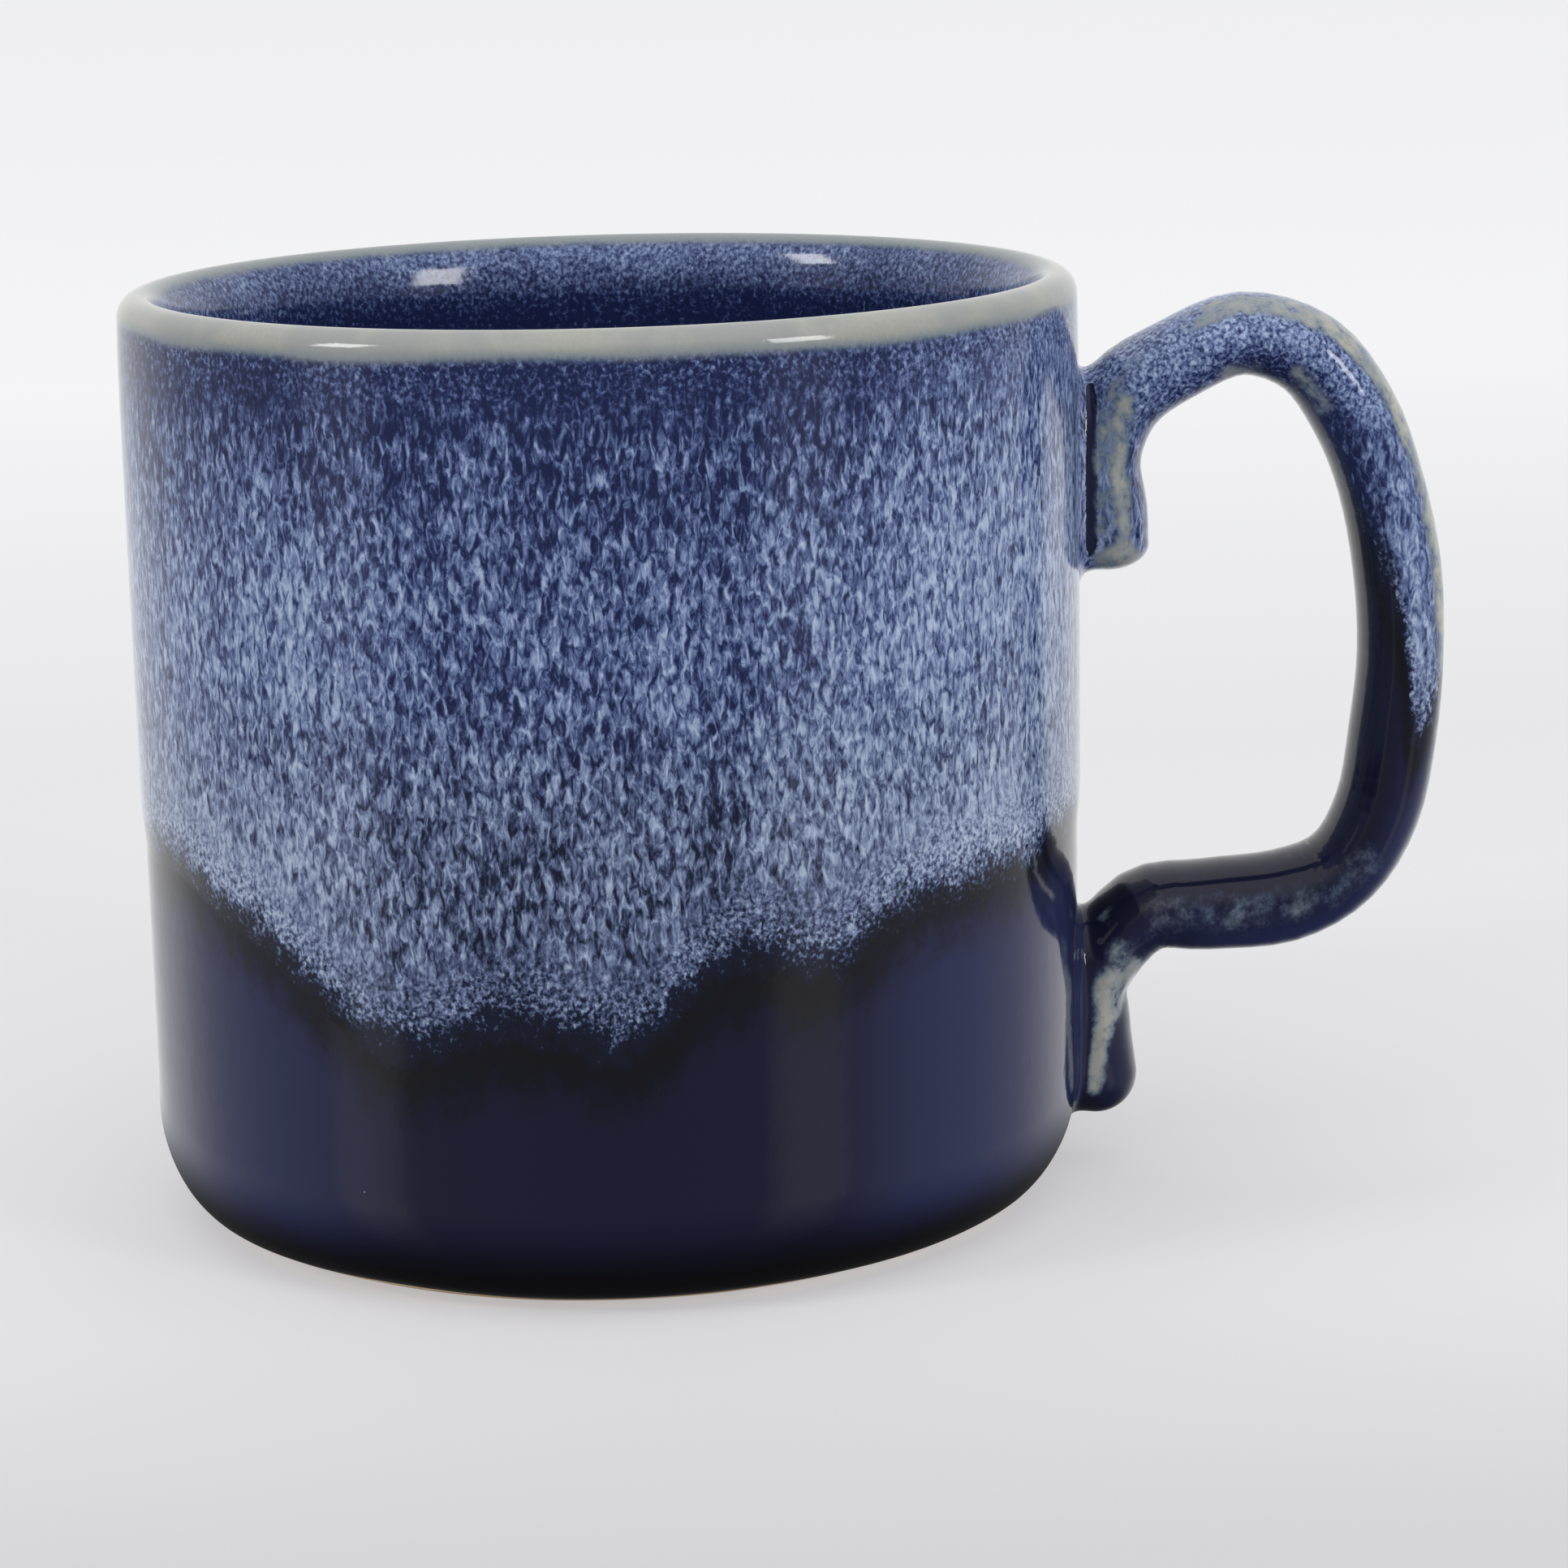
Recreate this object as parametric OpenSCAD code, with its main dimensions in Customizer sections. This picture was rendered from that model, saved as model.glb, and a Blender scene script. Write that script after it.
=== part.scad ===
// Wheel-thrown stoneware mug with a pulled strap handle and two coats of glaze.
// The origin is the centre of the foot on the table, +Z is up and the handle is on +X.

/* [Cup] */
// Outer diameter across the glazed lip
rim_d = 92; // [86:1:98]
// Height from the foot to the crest of the lip
mug_h = 90; // [88:1:96]
// Radius of the round lip, glaze included
lip_r = 2.15; // [1.8:0.05:2.6]
// How much narrower the wall is at the foot end, on the radius
wall_taper = 0.1; // [0:0.1:1]
// Thickness of the wall where it meets the floor
wall_low_t = 5.2; // [4.6:0.1:7]
// Thickness of the floor
floor_t = 7; // [5:0.5:9]
// Radius of the corner inside, between wall and floor
floor_corner_r = 8; // [4:1:12]
// Width of the rounded corner outside, between wall and foot
corner_w = 6.9; // [4:0.1:9]
// Height of the rounded corner outside
corner_h = 11.1; // [8:0.1:14]

/* [Glaze] */
// Thickness of one coat of glaze
glaze_t = 0.3; // [0.2:0.05:0.4]
// Height of the bare foot below the navy coat
foot_line = 1.2; // [1:0.1:3]
// How far the speckled coat reaches down inside the lip
speckle_inside = 14; // [6:1:30]
// Height of the speckled coat's lower edge between its runs
drip_level = 39; // [36:1:44]
// Height at which the two coats meet on the handle
handle_dip_level = 40; // [36:1:46]

/* [Handle] */
// How squarely the strap's section is cut, from 0.6 for square to 1 for an ellipse
strap_softness = 0.95; // [0.7:0.05:1]
// How far the slip collars stand proud of the wall
slip_t = 1.2; // [0.8:0.1:1.6]
// How far the slip collars reach past the sides of the tails
slip_reach = 1.4; // [1:0.1:2]

/* [Hidden] */
$fn = 96;
rim_r = rim_d / 2;
clay_depth = 2 * glaze_t;
lip_z = mug_h - lip_r;
wall_low_r = rim_r - wall_taper;
inner_low_r = wall_low_r - wall_low_t;
floor_corner_z = floor_t + floor_corner_r;
arc_steps = 12;
clay_colour = "#b9a68b";
slip_colour = "#5d6f8c";
navy_colour = "#141a33";
speckle_colour = "#5a74ad";

// The strap's route from the upper tail's end to the lower tail's end. Each point holds
// how far out from the wall it is, its height, and half the strap's thickness and width.
strap_route = [
    [3.3, 62.6, 3.8, 5.3],
    [3.2, 66.0, 3.8, 5.6],
    [2.6, 71.5, 3.8, 5.8],
    [4.9, 77.0, 3.9, 5.8],
    [10.1, 80.4, 3.7, 5.8],
    [16.6, 82.8, 3.7, 5.9],
    [23.2, 80.6, 3.9, 6.0],
    [27.5, 74.9, 4.0, 6.0],
    [30.2, 67.9, 3.9, 6.0],
    [31.9, 59.5, 4.0, 6.0],
    [32.3, 51.0, 3.9, 6.0],
    [31.6, 43.0, 4.0, 6.0],
    [30.1, 35.2, 3.9, 6.0],
    [26.6, 29.3, 3.8, 6.0],
    [20.7, 26.5, 4.3, 5.9],
    [13.0, 25.9, 4.2, 5.8],
    [6.5, 25.4, 3.8, 5.8],
    [1.5, 19.5, 3.6, 5.6],
    [1.4, 14.5, 3.6, 5.4],
    [1.7, 9.2, 3.6, 5.1]
];
strap_steps = 3;
strap_sides = 20;
upper_cap_length = 2.2;
lower_cap_length = 3.9;
upper_collar = [58.4, 81.6];
lower_collar = [4.4, 29.6];
tail_half_width = 5.8;
collar_corner_r = 4.5;

// Each run of the speckled coat: its direction around the mug, depth and half-width in degrees
runs = [
    [-128, 4.5, 11], [-116, 5, 8], [-103, 9.5, 24], [-89, 6, 9], [-64, 6, 10], [-35, 1.5, 12],
    [8, 4, 12], [42, 8, 14], [74, 5, 10], [104, 9, 13], [138, 6, 12], [168, 3, 10]
];
edge_steps = 72;

// Outside of the cup at a depth below its glazed surface, from a height up to the lip's crest
function corner_start(depth, low) = acos((corner_h - max(low, depth)) / (corner_h - depth));
function outer_line(depth, low) = concat(
    low >= corner_h ? [[wall_low_r - depth, low]] : [
        for (i = [0:arc_steps])
            let (a = corner_start(depth, low) + (90 - corner_start(depth, low)) * i / arc_steps)
            [wall_low_r - corner_w + (corner_w - depth) * sin(a), corner_h - (corner_h - depth) * cos(a)]
    ],
    [
        for (i = [0:arc_steps])
            let (a = 90 * i / arc_steps)
            [rim_r - lip_r + (lip_r - depth) * cos(a), lip_z + (lip_r - depth) * sin(a)]
    ]
);

// Inside of the cup at a depth below its glazed surface, from the lip's crest down to a height
function inner_wall_r(z) = inner_low_r
    + (rim_r - 2 * lip_r - inner_low_r) * (z - floor_corner_z) / (lip_z - floor_corner_z);
function inner_line(depth, low) = concat(
    [
        for (i = [0:arc_steps])
            let (a = 90 + 90 * i / arc_steps)
            [rim_r - lip_r + (lip_r - depth) * cos(a), lip_z + (lip_r - depth) * sin(a)]
    ],
    low > floor_corner_z ? [[inner_wall_r(low) + depth, low]] : [
        for (i = [0:arc_steps])
            let (a = 90 * i / arc_steps, r = floor_corner_r + depth)
            [inner_low_r - floor_corner_r + r * cos(a), floor_corner_z - r * sin(a)]
    ],
    low > floor_corner_z ? [] : [[0, floor_t - depth]]
);
function reversed(list) = [for (i = [len(list) - 1:-1:0]) list[i]];

// The strap's sweep
function soft(v) = sign(v) * pow(abs(v), strap_softness);
function blend(a, b, c, d, t) =
    0.5 * (2 * b + (c - a) * t + (2 * a - 5 * b + 4 * c - d) * t * t + (3 * b - a - 3 * c + d) * t * t * t);
function padded(list) = concat([2 * list[0] - list[1]], list, [2 * list[len(list) - 1] - list[len(list) - 2]]);
function stations(list) = concat(
    [
        for (i = [1:len(list) - 3])
            for (j = [0:strap_steps - 1])
                blend(list[i - 1], list[i], list[i + 1], list[i + 2], j / strap_steps)
    ],
    [list[len(list) - 2]]
);
function heading(list, i) =
    let (a = list[max(i - 1, 0)], b = list[min(i + 1, len(list) - 1)], d = [b[0] - a[0], b[1] - a[1]])
    d / norm(d);
// One ring of the sweep, moved along its heading and scaled where it closes an end
function ring(s, way, along, size, grow) = [
    for (k = [0:strap_sides - 1])
        let (a = 360 * k / strap_sides, thick = (s[2] + grow) * size * soft(cos(a)))
        [
            rim_r + s[0] + way[0] * along - way[1] * thick,
            (s[3] + grow) * size * soft(sin(a)),
            s[1] + way[1] * along + way[0] * thick
        ]
];
function strap_rings(grow) =
    let (s = stations(padded(strap_route)), last = len(s) - 1)
    concat(
        [for (a = [80, 60, 40, 20]) ring(s[0], heading(s, 0), -(upper_cap_length + grow) * sin(a), cos(a), grow)],
        [for (i = [0:last]) ring(s[i], heading(s, i), 0, 1, grow)],
        [for (a = [20, 40, 60, 80]) ring(s[last], heading(s, last), (lower_cap_length + grow) * sin(a), cos(a), grow)]
    );
module strap_solid(grow) {
    rings = strap_rings(grow);
    n = strap_sides;
    last = len(rings) - 1;
    points = [for (r = rings) for (p = r) p];
    sides = [
        for (i = [0:last - 1])
            for (k = [0:n - 1])
                let (a = i * n + k, b = i * n + (k + 1) % n)
                each [[a, b, b + n], [a, b + n, a + n]]
    ];
    ends = [
        reversed([for (k = [0:n - 1]) k]),
        [for (k = [0:n - 1]) last * n + k]
    ];
    polyhedron(points, concat(sides, ends));
}

// Everything inside the cup's outer surface at a depth below the glaze
module cup_envelope(depth) {
    rotate_extrude()
        polygon(concat([[0, mug_h], [0, 0]], outer_line(depth, 0), [[0, mug_h - depth]]));
}

// A rounded upright outline pushed through the wall on the handle's side
module collar_block(span) {
    width = 2 * (tail_half_width + slip_reach);
    height = span[1] - span[0];
    translate([rim_r - 8, 0, (span[0] + span[1]) / 2])
        rotate([90, 0, 90])
            linear_extrude(16) {
                square([width - 2 * collar_corner_r, height], center = true);
                square([width, height - 2 * collar_corner_r], center = true);
                for (x = [-1, 1])
                    for (y = [-1, 1])
                        translate([x * (width / 2 - collar_corner_r), y * (height / 2 - collar_corner_r)])
                            circle(collar_corner_r);
            }
}

module joint_slip(span) {
    difference() {
        intersection() {
            cup_envelope(-slip_t);
            collar_block(span);
        }
        cup_envelope(clay_depth);
        strap_solid(0);
    }
}

// What the handle and its slip collars take out of the coats on the cup
module handle_footprint() {
    strap_solid(0);
    collar_block(upper_collar);
    collar_block(lower_collar);
}

// The wavy top of everything below the speckled coat
function edge_height(a) = drip_level - [for (r = runs) 1] * [
    for (r = runs)
        let (off = (a - r[0]) - 360 * round((a - r[0]) / 360))
        r[1] * exp(-pow(off / r[2], 2))
];
module below_edge() {
    n = edge_steps;
    outer = rim_r + 10;
    inner = rim_r - 20;
    rings = [[inner, 0], [outer, 0], [outer, 1], [inner, 1]];
    points = [
        for (r = rings)
            for (i = [0:n - 1])
                let (a = 360 * i / n)
                [r[0] * cos(a), r[0] * sin(a), r[1] * edge_height(a)]
    ];
    faces = [
        for (r = [0:3])
            for (i = [0:n - 1])
                let (a = r * n + i, b = r * n + (i + 1) % n, c = (r + 1) % 4 * n + i, d = (r + 1) % 4 * n + (i + 1) % n)
                each [[a, c, d], [a, d, b]]
    ];
    polyhedron(points, faces);
}

module cup_body() {
    color(clay_colour)
        rotate_extrude()
            polygon(concat(
                [[0, 0], [wall_low_r - corner_w - glaze_t, 0]],
                outer_line(clay_depth, clay_depth),
                inner_line(clay_depth, 0)
            ));
}

module handle_strap() {
    color(clay_colour)
        difference() {
            strap_solid(0);
            cup_envelope(clay_depth);
        }
}

module upper_joint_slip() {
    color(slip_colour)
        joint_slip(upper_collar);
}

module lower_joint_slip() {
    color(slip_colour)
        joint_slip(lower_collar);
}

module liner_glaze() {
    color(speckle_colour)
        rotate_extrude()
            polygon(concat(inner_line(glaze_t, 0), reversed(inner_line(clay_depth, 0))));
}

module base_glaze() {
    color(navy_colour)
        difference() {
            rotate_extrude()
                polygon(concat(outer_line(glaze_t, foot_line), reversed(outer_line(clay_depth, foot_line))));
            handle_footprint();
        }
}

module speckled_glaze() {
    low = mug_h - speckle_inside;
    color(speckle_colour)
        difference() {
            rotate_extrude()
                polygon(concat(
                    outer_line(0, corner_h), inner_line(0, low),
                    reversed(inner_line(glaze_t, low)), reversed(outer_line(glaze_t, corner_h))
                ));
            below_edge();
            handle_footprint();
        }
}

module handle_coat(low, high) {
    difference() {
        strap_solid(glaze_t);
        strap_solid(0);
        cup_envelope(-slip_t);
        translate([0, -50, high])
            cube([200, 100, 100]);
        translate([0, -50, low - 100])
            cube([200, 100, 100]);
    }
}

module handle_base_glaze() {
    color(navy_colour)
        handle_coat(0, handle_dip_level);
}

module handle_speckled_glaze() {
    color(speckle_colour)
        handle_coat(handle_dip_level, mug_h);
}

cup_body();
handle_strap();
upper_joint_slip();
lower_joint_slip();
liner_glaze();
base_glaze();
speckled_glaze();
handle_base_glaze();
handle_speckled_glaze();
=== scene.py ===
"""A wheel-thrown stoneware mug with a pulled strap handle, glazed speckled blue over navy.

The clay, each coat of glaze and each slip joint is a closed mesh of its own. Lengths are millimetres
until a mesh is made. The origin is the centre of the foot, +Z is up and the handle is on +X.
"""

import math
import bpy
import numpy as np
from mathutils import Matrix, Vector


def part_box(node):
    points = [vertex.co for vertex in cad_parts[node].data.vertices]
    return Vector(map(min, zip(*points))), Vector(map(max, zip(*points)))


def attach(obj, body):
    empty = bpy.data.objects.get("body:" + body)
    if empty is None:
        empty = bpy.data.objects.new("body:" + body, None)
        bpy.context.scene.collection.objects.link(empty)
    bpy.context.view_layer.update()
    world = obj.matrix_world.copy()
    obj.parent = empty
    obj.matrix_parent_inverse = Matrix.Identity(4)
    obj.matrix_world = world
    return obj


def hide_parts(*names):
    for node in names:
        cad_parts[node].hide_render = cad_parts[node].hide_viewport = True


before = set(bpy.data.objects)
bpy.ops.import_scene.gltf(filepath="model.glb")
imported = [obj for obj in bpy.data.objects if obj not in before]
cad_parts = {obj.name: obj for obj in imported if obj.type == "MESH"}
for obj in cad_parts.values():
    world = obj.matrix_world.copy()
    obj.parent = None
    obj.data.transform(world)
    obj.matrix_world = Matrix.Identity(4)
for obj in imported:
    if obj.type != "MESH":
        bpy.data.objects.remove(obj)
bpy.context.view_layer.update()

MM = 0.001


def corners(node):
    """Lowest and highest corner of a CAD node, in millimetres."""
    low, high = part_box(node)
    return np.array(low) / MM, np.array(high) / MM


# Sizes that the frame gives
rim_r = corners("speckled_glaze")[1][1]
mug_h = corners("speckled_glaze")[1][2]
glaze_t = rim_r - corners("base_glaze")[1][1]
foot_line = corners("base_glaze")[0][2]
floor_t = corners("liner_glaze")[0][2] + 2 * glaze_t
clay_depth = 2 * glaze_t

# The section's other sizes, as in the CAD model
lip_r = 2.15
lip_in_w = 3.0
lip_in_h = 6.5
wall_taper = 0.1
wall_low_t = 5.2
floor_corner_r = 8
corner_w = 6.9
corner_h = 11.1
lip_z = mug_h - lip_r
inner_low_r = rim_r - wall_taper - wall_low_t
floor_corner_z = floor_t + floor_corner_r
speckle_inside = 18
inner_wall_rows = 44

# What throwing by hand leaves: a lean towards the handle, per millimetre of height, and an eased top
lean = 0.0054
ease_from = 80
ease_in = 0.12

# Each run of the speckled coat: its direction in degrees, depth and half-width in degrees
drip_level = 39
runs = [
    (-128, 4.5, 11), (-116, 5, 8), (-103, 9.5, 24), (-89, 6, 9), (-64, 6, 10), (-35, 1.5, 12),
    (8, 4, 12), (42, 8, 14), (74, 5, 10), (104, 9, 13), (138, 6, 12), (168, 3, 10),
]

# The strap's route: how far out from the wall, height, half the thickness and half the width
strap_route = [
    (3.3, 62.6, 3.8, 5.3), (3.2, 66.0, 3.8, 5.6), (2.6, 71.5, 3.8, 5.8), (4.9, 77.0, 3.9, 5.8),
    (10.1, 80.4, 3.7, 5.8), (16.6, 82.8, 3.7, 5.9), (23.2, 80.6, 3.9, 6.0), (27.5, 74.9, 4.0, 6.0),
    (30.2, 67.9, 3.9, 6.0), (31.9, 59.5, 4.0, 6.0), (32.3, 51.0, 3.9, 6.0), (31.6, 43.0, 4.0, 6.0),
    (30.1, 35.2, 3.9, 6.0), (26.6, 29.3, 3.8, 6.0), (20.7, 26.5, 4.3, 5.9), (13.0, 25.9, 4.2, 5.8),
    (6.5, 25.4, 3.8, 5.8), (1.5, 19.5, 3.6, 5.6), (1.4, 14.5, 3.6, 5.4), (1.7, 9.2, 3.9, 5.1),
]
strap_steps = 4
section_power = 2.0
upper_cap = 2.2
lower_cap = 3.9
strap_cell = 0.4
dip_level = corners("handle_speckled_glaze")[0][2]

# The joints: how far they blend and reach, and how deep their rims and their backs lie in the wall
joint_blend = 2.6
joint_reach = 1.3
joint_sink = 0.12
joint_back = 0.7


def smooth(low, high, value):
    """0 below low, 1 above high, and a smooth ramp between."""
    t = np.clip((value - low) / (high - low), 0, 1)
    return t * t * (3 - 2 * t)


def bump_at(value, centre, half_width):
    """A soft bump of height 1 at centre."""
    return np.exp(-((value - centre) / half_width) ** 2)


def turn(azimuth, centre):
    """Angle from centre to azimuth in degrees, between -180 and 180."""
    return (azimuth - centre + 180) % 360 - 180


# Meshes

def make_mesh(name, points, faces, attributes, normals=None):
    """A smooth mesh from millimetre points, with a float attribute on each vertex for the glaze."""
    mesh = bpy.data.meshes.new(name)
    mesh.from_pydata((np.asarray(points, float) * MM).tolist(), [], [list(f) for f in faces])
    mesh.update()
    mesh.shade_smooth()
    for key, values in attributes.items():
        layer = mesh.attributes.new(key, "FLOAT", "POINT")
        layer.data.foreach_set("value", np.asarray(values, np.float32))
    if normals is not None:
        mesh.normals_split_custom_set_from_vertices(np.asarray(normals, float).tolist())
    piece = bpy.data.objects.new(name, mesh)
    bpy.context.scene.collection.objects.link(piece)
    return piece


def ring_faces(rows, columns, closed):
    """Quads between rows of a grid that wraps round its columns, and round its rows when closed."""
    row = np.arange(rows if closed else rows - 1)[:, None]
    column = np.arange(columns)[None, :]
    after = (row + 1) % rows
    beside = (column + 1) % columns
    quads = np.stack([
        row * columns + column, row * columns + beside,
        after * columns + beside, after * columns + column,
    ], -1)
    return quads.reshape(-1, 4).tolist()


def fan_faces(centre, start, columns, upward):
    """Triangles from one centre point to the ring of points that begins at start."""
    fan = []
    for k in range(columns):
        a, b = start + k, start + (k + 1) % columns
        fan.append([centre, a, b] if upward else [centre, b, a])
    return fan


# The cup's section

def outer_wall(z):
    """Radius of the glazed outside at height z below the lip, and its outward normal."""
    drop = np.clip((corner_h - z) / corner_h, 0, 0.9999)
    side = np.sqrt(1 - drop ** 2)
    rise = np.clip((z - corner_h) / (lip_z - corner_h), 0, 1)
    ease = ease_in * np.clip((z - ease_from) / (lip_z - ease_from), 0, 1) ** 2
    radius = rim_r - wall_taper * (1 - rise) - corner_w * (1 - side) - ease
    normal_r = side / corner_w
    normal_z = -drop / corner_h
    size = np.hypot(normal_r, normal_z)
    return radius, normal_r / size, normal_z / size


def handmade(azimuth, z):
    """How far the thrown wall strays from round, with the faint rings that fingers leave."""
    a = np.radians(azimuth)
    swell = 0.08 * np.sin(2 * a + 0.7) + 0.05 * np.sin(3 * a + z / 19)
    rings = 0.006 * np.sin(z * 1.4 + a) + 0.004 * np.sin(z * 2.3 - 2 * a + 1)
    return swell + rings


def around(radius, azimuth, z):
    """Points at a radius, direction and height on the leaning cup."""
    a = np.radians(azimuth)
    r = radius + handmade(azimuth, z) * smooth(0, 12, radius)
    return np.stack([r * np.cos(a) + lean * z, r * np.sin(a), z], -1)


def wall_distance(p):
    """How far points outside the lip and foot stand off the cup's glazed outside."""
    x = p[..., 0] - lean * p[..., 2]
    z = p[..., 2]
    azimuth = np.degrees(np.arctan2(p[..., 1], x))
    radius = outer_wall(z)[0] + handmade(azimuth, z)
    navy = smooth(3, -3, z - edge_height(azimuth)) * glaze_t
    return np.hypot(x, p[..., 1]) - radius + navy


def edge_height(azimuth):
    """Height of the speckled coat's lower edge in a direction."""
    height = drip_level + 0 * azimuth
    for centre, depth, half_width in runs:
        height = height - depth * bump_at(turn(azimuth, centre), 0, half_width)
    a = np.radians(azimuth)
    return height + 0.45 * np.sin(11 * a + 0.6) + 0.3 * np.sin(19 * a + 2.1)


def outside_path(z):
    """Section points and normals up the outside at heights z (rows, columns), then to the lip's crest."""
    radius, nr, nz = outer_wall(z)
    a = np.radians(np.linspace(0, 90, 14))[1:, None] + 0 * z[:1]
    centre = rim_r - lip_r - ease_in
    lip = (centre + lip_r * np.cos(a), lip_z + lip_r * np.sin(a), np.cos(a), np.sin(a))
    wall = (radius, z, nr, nz)
    return [np.concatenate([w, l]) for w, l in zip(wall, lip)]


def inside_path(low, columns, wall_rows):
    """Section points and normals from just inside the lip's crest down to a height, or to the floor."""
    a = np.radians(np.linspace(90, 180, 22))[1:]
    centre = rim_r - lip_r - ease_in
    lip_low = mug_h - lip_in_h
    normal = np.stack([np.cos(a) / lip_in_w, np.sin(a) / lip_in_h])
    normal = normal / np.hypot(*normal)
    stretches = [(centre + lip_in_w * np.cos(a), lip_low + lip_in_h * np.sin(a), *normal)]
    z = np.linspace(lip_low, max(low, floor_corner_z), wall_rows)[1:]
    slope = (centre - lip_in_w - inner_low_r) / (lip_low - floor_corner_z)
    ones = np.ones_like(z)
    stretches.append((inner_low_r + slope * (z - floor_corner_z), z, -ones, slope * ones))
    if low < floor_corner_z:
        b = np.radians(np.linspace(0, 90, 18))[1:]
        turn_r = inner_low_r - floor_corner_r + floor_corner_r * np.cos(b)
        stretches.append((turn_r, floor_corner_z - floor_corner_r * np.sin(b), -np.cos(b), np.sin(b)))
        r = np.linspace(inner_low_r - floor_corner_r, 1, 24)[1:]
        stretches.append((r, floor_t + 0 * r, 0 * r, 1 + 0 * r))
    return [np.concatenate(part)[:, None] + np.zeros(columns) for part in zip(*stretches)]


def joined(first, second):
    """One section path with another after it."""
    return [np.concatenate([a, b]) for a, b in zip(first, second)]


def at_depth(path, azimuth, depth):
    """Points of a section path at a depth under the glazed surface."""
    radius, z, nr, nz = path
    return around(radius - depth * nr, azimuth + 0 * z, z - depth * nz)


# What the glaze shader reads at each vertex

def cup_marks(points, inside):
    """Attributes of points on the cup: height over the drip edge, thin breaks, grain and how light the
    glaze is, which carries fleck density and painted shade inside the cup.
    """
    x, y, z = points[..., 0] - lean * points[..., 2], points[..., 1], points[..., 2]
    azimuth = np.degrees(np.arctan2(y, x))
    above = np.where(inside, z - 52, z - edge_height(azimuth))
    wave = 0.15 * np.sin(np.radians(azimuth) * 5) + 0.1 * np.sin(np.radians(azimuth) * 12 + 1)
    thin = np.where(inside, 0.7 * smooth(88.2, 89.9, z), 0.9 * smooth(86.3, 88.8, z + wave))
    calm = smooth(66, 84, z)
    left_run = bump_at(turn(azimuth, -127), 0, 2.0) * bump_at(z, 57, 13)
    right_run = bump_at(turn(azimuth, -73), 0, 2.2) * bump_at(z, 45, 6)
    # The glaze is made lighter towards both sides away from azimuth -90, more on the right and low down,
    # and a little darker in the middle just over the drip edge.
    aside = turn(azimuth, -90)
    low_down = smooth(54, 40, z)
    left = smooth(-16, -48, aside) * (0.055 * (1 - 0.6 * calm) + 0.055 * low_down)
    right = smooth(14, 46, aside) * (0.088 + 0.03 * low_down)
    middle = bump_at(aside, 0, 24) * smooth(9, 2, above)
    glaze_lightness = left + right - 0.03 * middle + 0.05 * left_run + 0.08 * right_run
    glaze_lightness = glaze_lightness - 0.07 * calm - 0.03 * smooth(79, 87, z)
    # Painted shade: inside the cup the glaze is made darker from just under the lip downwards, where the
    # cup's own walls shade it.
    deep = 0.01 - 0.18 * smooth(88, 81, z)
    glaze_lightness = np.where(inside, deep, glaze_lightness)
    grain = np.where(inside, 1, 0.85 * smooth(79.5, 88, z))
    return {
        "above_edge": above.ravel(), "thin": thin.ravel(), "grain": grain.ravel(),
        "flecks": glaze_lightness.ravel(), "mottled": np.zeros(thin.size),
    }


# The cup's pieces

def cup_clay():
    """The bare clay cup, with the fine rings of turning on its foot."""
    columns = 256
    azimuth = np.linspace(-180, 180, columns, endpoint=False)
    foot_r = rim_r - wall_taper - corner_w - glaze_t
    sole_r = np.linspace(1, foot_r - 0.5, 110)[:, None] + 0 * azimuth
    groove = 0.035 * (1 - np.cos(sole_r * 2 * np.pi / 1.1 + np.radians(azimuth)))
    sole = around(sole_r, azimuth, groove * smooth(foot_r - 0.5, foot_r - 3, sole_r))
    bevel = around(np.array([[foot_r - 0.1], [foot_r + 0.35]]) + 0 * azimuth, azimuth,
                   np.array([[0.06], [0.35]]) + 0 * azimuth)
    lowest = 0.5
    start = math.acos((corner_h - lowest) / corner_h)
    corner = corner_h * (1 - np.cos(np.linspace(start, math.pi / 2, 20)))
    z = np.concatenate([corner, np.linspace(corner_h, lip_z, 40)[1:]])[:, None] + 0 * azimuth
    path = joined(outside_path(z), inside_path(0, columns, inner_wall_rows))
    shell = at_depth(path, azimuth, clay_depth)
    rows = np.concatenate([sole, bevel, shell])
    count = len(rows)
    centres = [[0, 0, 0], [lean * floor_t, 0, floor_t - clay_depth]]
    points = np.concatenate([rows.reshape(-1, 3), centres])
    faces = ring_faces(count, columns, False)
    faces += fan_faces(count * columns, 0, columns, False)
    faces += fan_faces(count * columns + 1, (count - 1) * columns, columns, True)
    return make_mesh("cup_clay", points, faces, {})


def closed_coat(name, outer, inner, inside_rows):
    """A coat of glaze from its outer rows and, in the same order, its inner rows."""
    rows = np.concatenate([outer, inner[::-1]])
    inside = np.zeros(len(outer), bool)
    inside[len(outer) - inside_rows:] = True
    inside = np.concatenate([inside, inside[::-1]])[:, None] & np.ones(rows.shape[1], bool)
    faces = ring_faces(len(rows), rows.shape[1], True)
    return make_mesh(name, rows.reshape(-1, 3), faces, cup_marks(rows, inside))


def navy_coat():
    """The navy coat outside, from just over the foot to the lip's crest."""
    azimuth = np.linspace(-180, 180, 384, endpoint=False)
    bare = bump_at(turn(azimuth, -124), 0, 14) + 0.8 * bump_at(turn(azimuth, 60), 0, 30)
    low = 0.45 + (foot_line - 0.45) * np.clip(bare, 0, 1) + 0.1 * np.sin(np.radians(azimuth) * 9)
    start = np.arccos((corner_h - low) / corner_h)
    t = np.linspace(0, 1, 28)[:, None]
    corner = corner_h * (1 - np.cos(start + (math.pi / 2 - start) * t))
    wall = corner_h + (lip_z - corner_h) * np.linspace(0, 1, 70)[1:, None] + 0 * azimuth
    path = outside_path(np.concatenate([corner, wall]))
    full = smooth(-0.2, 1.2, path[1] - low)
    outer = at_depth(path, azimuth, clay_depth - (0.04 + (glaze_t - 0.04) * full))
    inner = at_depth(path, azimuth, clay_depth + 0.02)
    return closed_coat("navy_coat", outer, inner, 0)


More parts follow.
